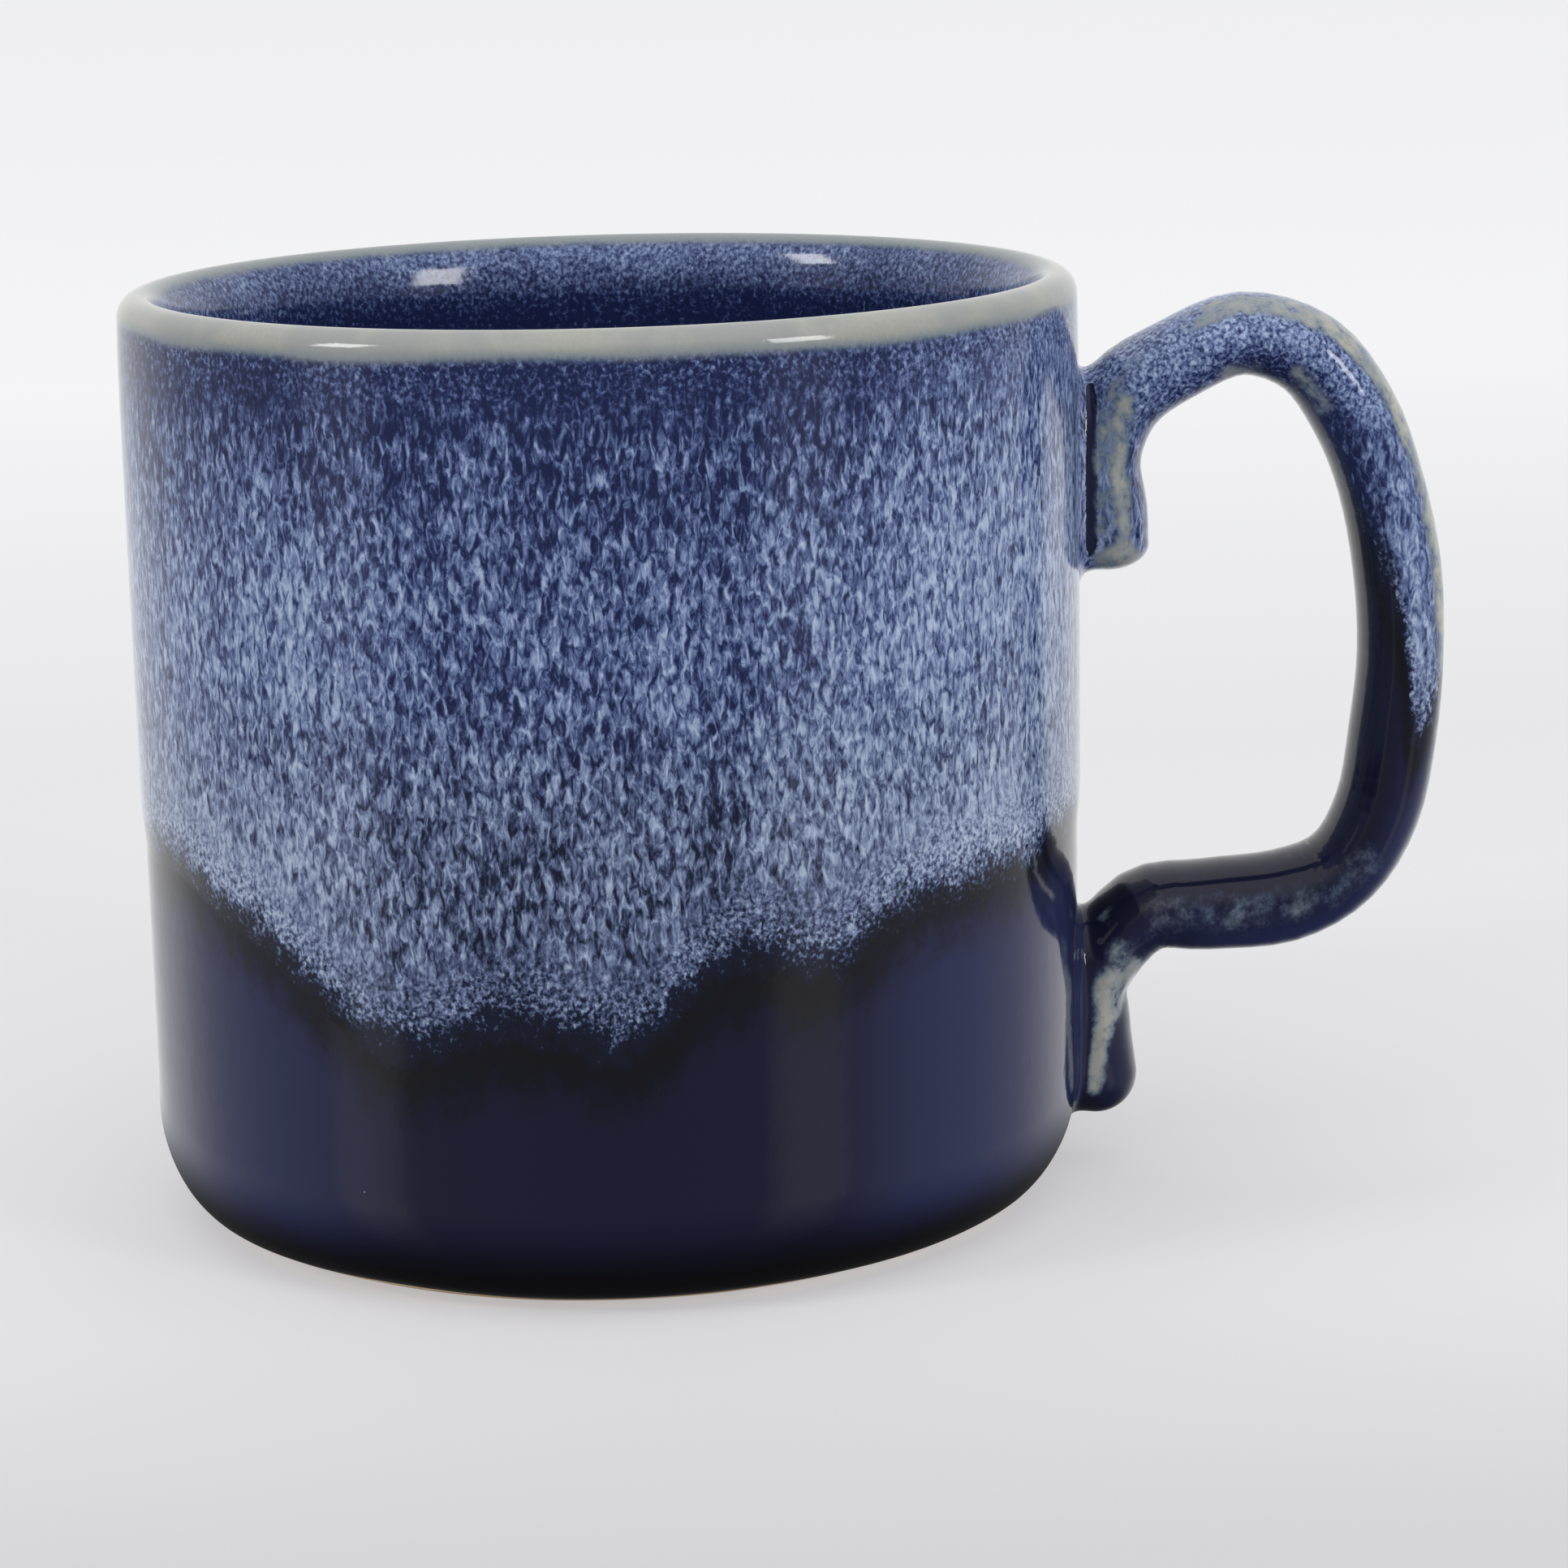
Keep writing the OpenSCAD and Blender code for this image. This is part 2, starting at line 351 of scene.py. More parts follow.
def speckled_coat():
    """The speckled coat, thinned to nothing past its drip edge, over the lip and a little way inside."""
    columns, wall_rows, inside_rows = 400, 72, 16
    azimuth = np.linspace(-180, 180, columns, endpoint=False)
    low = edge_height(azimuth) - 3
    t = np.linspace(0, 1, wall_rows)[:, None]
    up = outside_path(low + (lip_z - low) * t)
    down = inside_path(mug_h - speckle_inside, columns, inside_rows)
    path = joined(up, down)
    inside = (np.arange(len(path[0])) >= len(up[0]))[:, None]
    over = np.where(inside, path[1] - (mug_h - speckle_inside), path[1] - low)
    depth = (glaze_t + 0.02) * (1 - smooth(0, 6, over))
    outer = at_depth(path, azimuth, depth)
    inner = at_depth(path, azimuth, glaze_t + 0.06)
    return closed_coat("speckled_coat", outer, inner, len(down[0]))


def liner_coat():
    """The coat inside, from the lip's crest to the middle of the floor."""
    columns = 256
    azimuth = np.linspace(-180, 180, columns, endpoint=False)
    path = inside_path(0, columns, inner_wall_rows)
    outer = at_depth(path, azimuth, glaze_t)
    inner = at_depth(path, azimuth, clay_depth + 0.02)
    count = len(outer)
    centres = [[lean * floor_t, 0, floor_t - glaze_t], [lean * floor_t, 0, floor_t - clay_depth - 0.02]]
    rows = np.concatenate([outer[::-1], inner])
    points = np.concatenate([rows.reshape(-1, 3), centres])
    faces = [f[::-1] for f in ring_faces(2 * count, columns, False)]
    faces += fan_faces(2 * count * columns, 0, columns, True)
    faces += fan_faces(2 * count * columns + 1, (2 * count - 1) * columns, columns, False)
    return make_mesh("liner_coat", points, faces, cup_marks(points, np.ones(len(points), bool)))


# The handle: a smooth surface through every point where strap_surface is zero

def strap_samples():
    """A smooth curve through the strap's route: x, height, half thickness and half width."""
    route = np.array(strap_route) + (rim_r, 0, 0, 0)
    route = np.vstack([2 * route[0] - route[1], route, 2 * route[-1] - route[-2]])
    samples = []
    for a, b, c, d in zip(route, route[1:], route[2:], route[3:]):
        for t in np.arange(strap_steps) / strap_steps:
            samples.append(0.5 * (
                2 * b + (c - a) * t + (2 * a - 5 * b + 4 * c - d) * t * t
                + (3 * b - a - 3 * c + d) * t ** 3
            ))
    samples.append(route[-2])
    return np.array(samples)


samples = strap_samples()


def along_strap(x, z):
    """Offset to the strap's outer side, overshoot past an end, cap length and half sizes, in its plane."""
    best = np.full(x.shape, np.inf)
    offset, past, thick, wide, cap = (np.zeros(x.shape) for _ in range(5))
    last = len(samples) - 2
    for i, (a, b) in enumerate(zip(samples, samples[1:])):
        step = b[:2] - a[:2]
        length = np.hypot(*step)
        way = step / length
        run = (x - a[0]) * way[0] + (z - a[1]) * way[1]
        t = np.clip(run / length, 0, 1)
        dx = x - a[0] - t * step[0]
        dz = z - a[1] - t * step[1]
        away = np.hypot(dx, dz)
        near = away < best
        across = dz * way[0] - dx * way[1]
        side = np.where(across < 0, -away, away)
        over = np.zeros(x.shape)
        if i == 0:
            over = np.maximum(-run, 0)
        if i == last:
            over = np.maximum(run - length, 0)
        side = np.where(over > 0, across, side)
        size = a[None, 2:] + t.reshape(-1, 1) * (b - a)[None, 2:]
        best = np.where(near, away, best)
        offset = np.where(near, side, offset)
        past = np.where(near, over, past)
        cap = np.where(near, upper_cap if i < last / 2 else lower_cap, cap)
        thick = np.where(near, size[:, 0].reshape(x.shape), thick)
        wide = np.where(near, size[:, 1].reshape(x.shape), wide)
    return offset, past, cap + glaze_t, thick + glaze_t, wide + glaze_t


# Ridges that pulling and pressing left on the strap's sides: points (x, z), half-width, lift, paleness
ridges = [
    ([(47.9, 64.5), (47.7, 72), (48.4, 77), (50.6, 80.0), (52.0, 81.2)], 0.6, 0.12, 0.42),
    ([(50.2, 63.0), (49.9, 69), (49.8, 74), (50.4, 77.0)], 1.3, 0.16, 0.68),
    ([(48.4, 61.8), (51.4, 61.4)], 1.1, 0.03, 0.75),
    ([(49.6, 22.8), (48.6, 18.8)], 1.5, 0.08, 0.5),
    ([(48.3, 19.5), (47.6, 13.5), (46.9, 9.0)], 0.95, 0.18, 0.85),
    ([(51.2, 21.2), (49.9, 17.6), (48.2, 14.0)], 0.7, 0.12, 0.6),
    ([(48.6, 28.4), (48.0, 26.0)], 0.9, 0.03, 0.4),
    ([(60.6, 79.4), (63.0, 79.6)], 1.3, 0.0, 0.45),
    ([(67.4, 79.4), (69.8, 76.0)], 1.2, 0.0, 0.45),
]


def ridge_sum(x, z, part):
    """Total lift (part 2) or paleness (part 3) of the ridges at points in the strap's plane."""
    total = np.zeros(x.shape)
    for ridge in ridges:
        line, half_width = ridge[0], ridge[1]
        away = np.full(x.shape, np.inf)
        for (ax, az), (bx, bz) in zip(line, line[1:]):
            dx, dz = bx - ax, bz - az
            t = np.clip(((x - ax) * dx + (z - az) * dz) / (dx * dx + dz * dz), 0, 1)
            away = np.minimum(away, np.hypot(x - ax - t * dx, z - az - t * dz))
        total = total + ridge[part] * bump_at(away, 0, half_width)
    return total


class StrapPlane:
    """The strap's section values at points of its plane, worked out once for every y."""

    def __init__(self, x, z):
        self.offset, self.past, self.cap, self.thick, self.wide = along_strap(x, z)
        self.lift = ridge_sum(x, z, 2)


def strap_distance(plane, y):
    """Distance from the glazed strap alone, from its section's superellipse."""
    u = np.abs(plane.offset) / plane.thick
    v = np.abs(y) / plane.wide
    w = plane.past / plane.cap
    n = section_power
    g = (u ** n + v ** n + w ** n) ** (1 / n) + 1e-6
    slope = np.sqrt(
        (u ** (n - 1) / plane.thick) ** 2 + (v ** (n - 1) / plane.wide) ** 2
        + (w ** (n - 1) / plane.cap) ** 2
    ) * g ** (1 - n) + 1e-4
    return (g - 1) / slope - plane.lift * smooth(0.45, 0.85, v)


def sunk_depth(strap):
    """How deep a joint's skin lies under the cup's surface, by distance from the strap."""
    return 0.005 + joint_sink * smooth(1.5, 2.4, strap)


def strap_surface(plane, p):
    """Negative inside the glazed handle, which melts into the wall and ends just under its surface."""
    strap = strap_distance(plane, p[..., 1])
    wall = wall_distance(p)
    near = np.clip(joint_blend - np.abs(strap - wall), 0, None) / joint_blend
    melted = np.minimum(strap, wall + sunk_depth(strap)) - near * near * joint_blend / 4
    return np.maximum(np.maximum(melted, -joint_back - wall), strap - joint_blend - 0.1)


def surface_nets(values):
    """Vertices in cell units and quads of the surface where a grid of values crosses zero."""
    inside = values < 0
    shape = np.array(values.shape) - 1
    total = np.zeros((*shape, 3))
    count = np.zeros(shape)
    for axis in range(3):
        others = [k for k in range(3) if k != axis]
        for i in (0, 1):
            for j in (0, 1):
                cut = [slice(0, n) for n in shape]
                cut[others[0]] = slice(i, shape[others[0]] + i)
                cut[others[1]] = slice(j, shape[others[1]] + j)
                far = list(cut)
                far[axis] = slice(1, shape[axis] + 1)
                a, b = values[tuple(cut)], values[tuple(far)]
                crossing = (a < 0) != (b < 0)
                t = np.where(crossing, a / np.where(crossing, a - b, 1), 0)
                total[..., axis] += t
                total[..., others[0]] += i * crossing
                total[..., others[1]] += j * crossing
                count += crossing
    active = count > 0
    index = np.full(shape, -1)
    index[active] = np.arange(active.sum())
    cells = np.argwhere(active)
    points = cells + total[active] / count[active][:, None]
    quads = []
    for axis in range(3):
        b, c = (axis + 1) % 3, (axis + 2) % 3
        low = [slice(1, n) for n in shape]
        low[axis] = slice(0, shape[axis])
        high = list(low)
        high[axis] = slice(1, shape[axis] + 1)
        start, stop = inside[tuple(low)], inside[tuple(high)]
        edges = np.argwhere(start != stop)
        offset = np.ones(3, int)
        offset[axis] = 0
        edges = edges + offset
        leaving = inside[tuple(edges.T)]
        step_b, step_c = np.eye(3, dtype=int)[b], np.eye(3, dtype=int)[c]
        ring = [edges - step_b - step_c, edges - step_c, edges, edges - step_b]
        quad = np.stack([index[tuple(cell.T)] for cell in ring], 1)
        quads.append(np.where(leaving[:, None], quad, quad[:, ::-1]))
    return points, np.concatenate(quads)


def handle_surface():
    """Vertices, normals and quads of the whole glazed handle with its joints."""
    low = np.array([42.8, -13.0, 1.0])
    high = np.array([84.0, 13.0, 89.0])
    axes = [np.arange(a, b, strap_cell) for a, b in zip(low, high)]
    x, z = np.meshgrid(axes[0], axes[2], indexing="ij")
    plane = StrapPlane(x, z)
    values = np.empty([len(a) for a in axes])
    for j, y in enumerate(axes[1]):
        values[:, j, :] = strap_surface(plane, np.stack([x, y + 0 * x, z], -1))
    points, quads = surface_nets(values)
    points = low + points * strap_cell
    for _ in range(3):
        value, gradient = surface_gradient(points)
        step = value / (gradient ** 2).sum(1)
        points = points - np.clip(step, -0.3, 0.3)[:, None] * gradient
    points = tucked(points)
    gradient = surface_gradient(points)[1]
    return points, gradient / np.linalg.norm(gradient, axis=1)[:, None], quads


def tucked(points):
    """Points with the joints' thin outer rims pressed under the cup's surface."""
    strap = strap_distance(StrapPlane(points[:, 0], points[:, 2]), points[:, 1])
    proud = wall_distance(points) + sunk_depth(strap)
    proud = np.clip(proud, 0, 0.6) * smooth(1.9, 2.2, strap)
    outward = points * (1, 1, 0)
    outward = outward / np.linalg.norm(outward, axis=1)[:, None]
    return points - proud[:, None] * outward


def surface_gradient(points):
    """Value and gradient of the handle's surface function at points."""
    def value(p):
        return strap_surface(StrapPlane(p[:, 0], p[:, 2]), p)
    reach = 0.05
    gradient = [
        (value(points + reach * way) - value(points - reach * way)) / (2 * reach)
        for way in np.eye(3)
    ]
    return value(points), np.stack(gradient, 1)


def handle_marks(points):
    """Attributes of points on the handle, as cup_marks gives them for the cup."""
    x, y, z = points.T
    offset, _, _, thick, wide = along_strap(x, z)
    off_wall = wall_distance(points)
    out = offset / thick
    side = smooth(0.4, 0.65, np.abs(y) / wide)
    level = 41.5 + 4.6 * np.abs(1.6 - offset) + 1.5 * np.sin(offset * 2.1 + y * 0.4)
    limb = smooth(58, 62, x)
    above = np.where(x > 60, z - level, np.where(z > dip_level, 14.0, -14.0))
    above = np.clip(above, -14, 14)
    off_middle = smooth(0.1, 0.35, np.abs(y) / wide)
    # Pale outer edge of the strap: partly thin glaze breaking over the edge, partly painted sheen where the
    # edge reflects the bright room at a glancing angle.
    edge_break_and_sheen = smooth(0.42, 0.72, out) * smooth(46, 60, z) * smooth(52, 62, x) * off_middle
    edge_break_and_sheen = edge_break_and_sheen * (0.68 + 0.1 * np.sin(z * 0.7) + 0.08 * np.sin(x * 1.3 + y))
    pale = ridge_sum(x, z, 3) * side
    low_arm = smooth(36, 31, z) * smooth(50, 54, x)
    arm = 0.27 * low_arm * bump_at(out, -0.1, 0.6)
    # Painted reflection: a pale line along the outer edge of the grip's lower part, where it reflects the
    # bright room behind.
    low_edge_sheen = 0.3 * smooth(0.5, 0.9, out) * smooth(62, 52, z) * smooth(60, 66, x)
    at_wall = smooth(1.6, 0.3, off_wall)
    # The handle's thin-glaze colour also carries the painted sheen of its outer edges.
    thin = np.clip(edge_break_and_sheen + pale + arm + low_edge_sheen, 0, 1) * (1 - at_wall)
    # Painted shade: the strap's inner side, towards the finger hole, is made darker for the dark room it
    # reflects.
    inner = smooth(0.1, -0.8, out)
    # Painted sheen: a lighter, bluer band on the outer side of the grip's lower part.
    blue_side_sheen = smooth(0.1, 0.7, out) * smooth(47, 38, z) * smooth(54, 62, x)
    glaze_lightness = 0.05 - 0.14 * inner * limb - 0.06 * inner + 0.08 * blue_side_sheen
    # The crease beside the wall at the upper joint is turned navy: partly glaze pooled in the crease,
    # partly painted shade there.
    groove = bump_at(off_wall, 0.9, 0.75) * smooth(61, 64, z) * smooth(81.5, 77, z) * side
    above = above - 28 * np.clip(1.4 * groove, 0, 1)
    marks = {
        "above_edge": above, "thin": thin, "grain": 0.1 + 0.8 * smooth(71, 79, z), "flecks": glaze_lightness,
        "mottled": np.ones(len(points)),
    }
    on_cup = cup_marks(points, np.zeros(len(points), bool))
    melt = smooth(1.0, 0.1, off_wall)
    return {key: marks[key] * (1 - melt) + on_cup[key] * melt for key in marks}


def skin(name, points, normals, quads, thickness, marks):
    """A closed skin under the chosen faces of a surface, with its rims joined."""
    used, local = np.unique(quads, return_inverse=True)
    local = local.reshape(quads.shape)
    count = len(used)
    outer, away = points[used], normals[used]
    faces = local.tolist() + (local[:, ::-1] + count).tolist()
    edges = np.concatenate([local[:, [k, (k + 1) % 4]] for k in range(4)])
    keys = edges[:, 0] * count + edges[:, 1]
    twins = edges[:, 1] * count + edges[:, 0]
    for a, b in edges[~np.isin(keys, twins)].tolist():
        faces.append([b, a, a + count, b + count])
    both = np.concatenate([outer, outer - thickness * away])
    values = {key: np.tile(marks[key][used], 2) for key in marks}
    return make_mesh(name, both, faces, values, np.concatenate([away, -away]))


def handle_pieces():
    """The handle's surface, shared out between its two coats and its two joints."""
    points, normals, quads = handle_surface()
    marks = handle_marks(points)
    middle = points[quads].mean(1)
    at_joint = wall_distance(middle) < joint_reach
    upper = middle[:, 2] > dip_level
    shares = {
        "handle_speckled_coat": ~at_joint & upper,
        "handle_navy_coat": ~at_joint & ~upper,
        "upper_slip_joint": at_joint & upper,
        "lower_slip_joint": at_joint & ~upper,
    }
    return {
        name: skin(name, points, normals, quads[share], glaze_t, marks)
        for name, share in shares.items()
    }


# Materials

def srgb(red, green, blue):
    """A colour given as a screen shows it, 0 to 255, in the linear numbers that shaders take."""
    linear = [
        c / 12.92 if c <= 0.04045 else ((c + 0.055) / 1.055) ** 2.4
        for c in (red / 255, green / 255, blue / 255)
    ]
    return (*linear, 1)


class Graph:
    """The nodes of a material or a world, with short names for the few kinds that are used."""

    def __init__(self, owner):
        owner.use_nodes = True
        self.owner = owner
        self.tree = owner.node_tree
        self.shader = self.tree.nodes.get("Principled BSDF")

    def node(self, kind, *values, **settings):
        node = self.tree.nodes.new("ShaderNode" + kind)
        for key, value in settings.items():
            setattr(node, key, value)
        for socket, value in zip(node.inputs, values):
            self.feed(socket, value)
        return node

    def feed(self, socket, value):
        if isinstance(value, bpy.types.NodeSocket):
            self.tree.links.new(value, socket)
        elif value is not None:
            socket.default_value = value

    def math(self, operation, a, b=0.0, clamp=False):
        return self.node("Math", a, b, operation=operation, use_clamp=clamp).outputs[0]

    def ramp_between(self, value, low, high, start=0.0, stop=1.0):
        node = self.node("MapRange", value, low, high, start, stop, interpolation_type="SMOOTHSTEP")
        return node.outputs[0]

    def mix(self, factor, a, b):
        """Colour a mixed towards colour b."""
        node = self.node("Mix", data_type="RGBA")
        self.feed(node.inputs[0], factor)
        self.feed(node.inputs[6], a)
        self.feed(node.inputs[7], b)
        return node.outputs[2]

    def blend(self, factor, a, b):
        """Number a mixed towards number b."""
        node = self.node("Mix", data_type="FLOAT")
        self.feed(node.inputs[0], factor)
        self.feed(node.inputs[2], a)
        self.feed(node.inputs[3], b)
        return node.outputs[0]

    def colours(self, value, *stops):
        """A colour ramp of (place, colour) stops."""
        node = self.node("ValToRGB", value)
        elements = node.color_ramp.elements
        while len(elements) < len(stops):
            elements.new(1)
        for element, (place, colour) in zip(elements, stops):
            element.position = place
            element.color = colour
        return node.outputs[0]

    def attribute(self, name):
        return self.node("Attribute", attribute_name=name).outputs["Fac"]

    def place(self, x, y, z):
        """Object coordinates in millimetres, squeezed by a factor on each axis."""
        coordinates = self.node("TexCoord").outputs["Object"]
        scaled = self.node("VectorMath", coordinates, (x / MM, y / MM, z / MM), operation="MULTIPLY")
        return scaled.outputs[0]

    def noise(self, vector, scale, detail, roughness, distortion=0.0):
        node = self.node("TexNoise")
        values = {"Vector": vector, "Scale": scale, "Detail": detail, "Roughness": roughness,
                  "Distortion": distortion}
        for key, value in values.items():
            self.feed(node.inputs[key], value)
        return node.outputs["Fac"]


def glaze(name):
    """Fired glaze: pale streaky flecks over navy, near black below the drip edge, grey-green where thin,
    with painted shade near the foot.
    """
    g = Graph(bpy.data.materials.new(name))
    edge = g.attribute("above_edge")
    round_place = g.place(1, 1, 0.85)
    streak_place = g.place(1, 1, 0.4)

    streaks = g.noise(streak_place, 1.7, 3.0, 0.62, 0.6)
    grains = g.noise(round_place, 2.4, 2.5, 0.6, 0.3)
    patches = g.noise(g.place(1, 1, 0.45), 0.16, 2.0, 0.5)
    ragged = g.noise(round_place, 0.5, 3.0, 0.65)
    stray = g.math("SUBTRACT", ragged, 0.5)
    edge = g.math("ADD", edge, g.math("MULTIPLY", stray, 7.0))

    grainy = g.math("MAXIMUM", g.attribute("grain"), g.ramp_between(edge, 9.0, 2.0))
    fleck = g.blend(grainy, streaks, grains)
    indoors = g.ramp_between(g.attribute("grain"), 0.86, 1.0)
    fleck = g.blend(g.math("MULTIPLY", indoors, 0.35), fleck, 0.5)
    fade = g.ramp_between(edge, 3.0, -2.0, 0.0, -0.3)
    wander = g.math("MULTIPLY", g.math("SUBTRACT", patches, 0.5), 0.16)
    # The flecks attribute also carries painted shade inside the cup and on the handle's inner side, and a
    # painted sheen on the handle.
    push = g.math("ADD", g.math("ADD", g.attribute("flecks"), fade), wander)
    level = g.ramp_between(g.math("ADD", fleck, push), 0.02, 0.98)

    upper = g.colours(
        level, (0.28, srgb(26, 34, 68)), (0.38, srgb(41, 52, 91)), (0.5, srgb(76, 90, 131)),
        (0.62, srgb(112, 128, 166)), (0.76, srgb(152, 167, 196)), (0.9, srgb(176, 189, 208)),
    )
    lower = g.colours(
        level, (0.28, srgb(22, 26, 43)), (0.38, srgb(42, 52, 77)), (0.5, srgb(77, 89, 120)),
        (0.62, srgb(111, 125, 156)), (0.76, srgb(151, 165, 190)), (0.9, srgb(174, 187, 205)),
    )
    height = g.node("SeparateXYZ", g.place(1, 1, 1)).outputs[2]
    low_down = g.math("MAXIMUM", g.ramp_between(height, 62.0, 42.0), g.ramp_between(edge, 9.0, 2.0))
    speckled = g.mix(low_down, upper, lower)

    below = g.ramp_between(edge, -1.0, -9.0)
    navy = g.colours(
        below, (0.0, srgb(19, 18, 23)), (0.45, srgb(19, 19, 29)), (1.0, srgb(24, 25, 46)),
    )
    bluer = g.math("MULTIPLY", g.ramp_between(g.attribute("flecks"), 0.0, 0.13), below)
    navy = g.mix(bluer, navy, srgb(37, 42, 76))
    # Painted shade: the navy is made near black at the foot, for the shaded floor that the lowest glaze
    # reflects.
    painted_foot_shade = g.math("MULTIPLY", g.ramp_between(height, 9.0, 3.0), g.math("SUBTRACT", 1.0, indoors))
    navy = g.mix(painted_foot_shade, navy, srgb(9, 9, 13))
    cover = g.ramp_between(edge, -3.0, 0.5)
    body = g.mix(cover, navy, speckled)

    fine = g.math("SUBTRACT", grains, 0.5)
    thin = g.attribute("thin")
    mottling = g.math("MULTIPLY", g.attribute("mottled"), thin)
    blots = g.math("MULTIPLY", mottling, g.math("MULTIPLY", stray, 3.2))
    thin = g.math("ADD", g.math("ADD", thin, blots), g.math("MULTIPLY", fine, 0.25))
    break_colour = g.colours(
        thin, (0.2, srgb(60, 78, 112)), (0.4, srgb(92, 108, 126)), (0.65, srgb(128, 136, 138)),
        (0.85, srgb(150, 151, 145)), (1.0, srgb(160, 160, 153)),
    )
    break_colour = g.mix(g.ramp_between(patches, 0.4, 0.6, 0.0, 0.5), break_colour, srgb(132, 137, 141))
    body = g.mix(g.ramp_between(thin, 0.12, 0.6), body, break_colour)

    dots = g.node("TexVoronoi", feature="F1")
    g.feed(dots.inputs["Vector"], round_place)
    g.feed(dots.inputs["Scale"], 0.22)
    chosen = g.math("GREATER_THAN", g.node("SeparateXYZ", dots.outputs["Color"]).outputs[0], 0.72)
    speck = g.math("MULTIPLY", g.ramp_between(dots.outputs["Distance"], 0.025, 0.01), chosen)
    body = g.mix(g.math("MULTIPLY", speck, 0.5), body, srgb(170, 176, 190))
    g.feed(g.shader.inputs["Base Color"], body)

    g.feed(g.shader.inputs["Roughness"], g.ramp_between(level, 0.35, 0.7, 0.07, 0.14))
    relief = g.math("ADD", g.math("MULTIPLY", level, 0.35), g.noise(round_place, 0.7, 1.0, 0.4))
    bump = g.node("Bump")
    bump.inputs["Strength"].default_value = 0.4
    bump.inputs["Distance"].default_value = 0.03 * MM
    g.feed(bump.inputs["Height"], relief)
    g.feed(g.shader.inputs["Normal"], bump.outputs[0])
    g.shader.inputs["Specular IOR Level"].default_value = 0.35
    return g.owner


def stoneware():
    """Bare fired clay: warm buff, gritty, with iron specks and a slightly toasted bloom."""
    g = Graph(bpy.data.materials.new("bare_stoneware"))
    place = g.place(1, 1, 1)
    bloom = g.noise(place, 0.08, 3.0, 0.5)
    grit = g.noise(place, 3.2, 4.0, 0.65)
    body = g.colours(bloom, (0.35, srgb(176, 150, 118)), (0.65, srgb(203, 183, 152)))
    body = g.mix(g.ramp_between(grit, 0.52, 0.72, 0.0, 0.35), body, srgb(222, 206, 180))
    iron = g.noise(place, 1.3, 2.0, 0.5)
    body = g.mix(g.ramp_between(iron, 0.68, 0.76), body, srgb(92, 62, 42))
    g.feed(g.shader.inputs["Base Color"], body)
    g.feed(g.shader.inputs["Roughness"], g.ramp_between(grit, 0.3, 0.7, 0.78, 0.95))
    bump = g.node("Bump")
    bump.inputs["Strength"].default_value = 0.6
    bump.inputs["Distance"].default_value = 0.06 * MM
    g.feed(bump.inputs["Height"], grit)
    g.feed(g.shader.inputs["Normal"], bump.outputs[0])
    g.shader.inputs["Specular IOR Level"].default_value = 0.3
    return g.owner


def dress(piece, material):
    piece.data.materials.clear()
    piece.data.materials.append(material)


# The stage

def flat_piece(name, points, material):
    """A flat piece of the stage."""
    mesh = bpy.data.meshes.new(name)
    mesh.from_pydata(points, [], [list(range(len(points)))])
    mesh.materials.append(material)
    piece = bpy.data.objects.new(name, mesh)
    bpy.context.scene.collection.objects.link(piece)
    return piece


def floor():
    """A wide pale sheet that glows a little, so that shadows stay soft. Gloss looks past it."""
    g = Graph(bpy.data.materials.new("pale_sheet"))
    behind = g.node("SeparateXYZ", g.place(1, 1, 1)).outputs[1]
    # Painted shade and light: the sheet is made darker in front of the mug and lighter far behind it, for
    # how the light falls on the floor.
    colour = g.colours(
        g.ramp_between(behind, -1500.0, 1500.0), (0.3, srgb(163, 163, 164)), (0.4, srgb(143, 142, 144)),
        (0.449, srgb(146, 145, 147)), (0.478, srgb(159, 158, 160)), (0.5, srgb(161, 160, 162)),
        (0.6, srgb(158, 158, 159)), (0.8, srgb(169, 169, 170)),
    )
    g.feed(g.shader.inputs["Base Color"], colour)
    g.feed(g.shader.inputs["Emission Color"], colour)
    g.shader.inputs["Emission Strength"].default_value = 1.15
    g.shader.inputs["Roughness"].default_value = 0.9
    g.shader.inputs["Specular IOR Level"].default_value = 0.0
    far = 8.0
    points = [(-far, -far, 0), (far, -far, 0), (far, far, 0), (-far, far, 0)]
    sheet = flat_piece("floor", points, g.owner)
    sheet.visible_glossy = False


def foot_shade():
    """The dark between mug and floor, which only gloss near the foot sees."""
    g = Graph(bpy.data.materials.new("foot_shade"))
    x, y, _ = g.node("SeparateXYZ", g.place(1, 1, 1)).outputs
    from_middle = g.math("SQRT", g.math("ADD", g.math("MULTIPLY", x, x), g.math("MULTIPLY", y, y)))
    g.shader.inputs["Base Color"].default_value = (0, 0, 0, 1)
    g.shader.inputs["Specular IOR Level"].default_value = 0.0
    g.shader.inputs["Emission Color"].default_value = (1, 1, 1, 1)
    g.shader.inputs["Emission Strength"].default_value = 0.05
    g.feed(g.shader.inputs["Alpha"], g.ramp_between(from_middle, 69.0, 42.0))
    disc_r, drop = 0.075, 0.0002
    ring = np.radians(np.arange(0, 360, 5))
    points = [(disc_r * math.cos(a), disc_r * math.sin(a), -drop) for a in ring]
    shade = flat_piece("foot_shade", points, g.owner)
    shade.visible_camera = False
    shade.visible_diffuse = False
    shade.visible_shadow = False


def bright_strip(g, flat, azimuth):
    """How bright a soft upright strip at an azimuth looks in a level direction."""
    a = math.radians(azimuth)
    middle = (math.cos(a), math.sin(a), 0.0)
    toward = g.node("VectorMath", flat, middle, operation="DOT_PRODUCT").outputs["Value"]
    return g.ramp_between(toward, math.cos(math.radians(13)), 1.0, 0.0, 0.5)


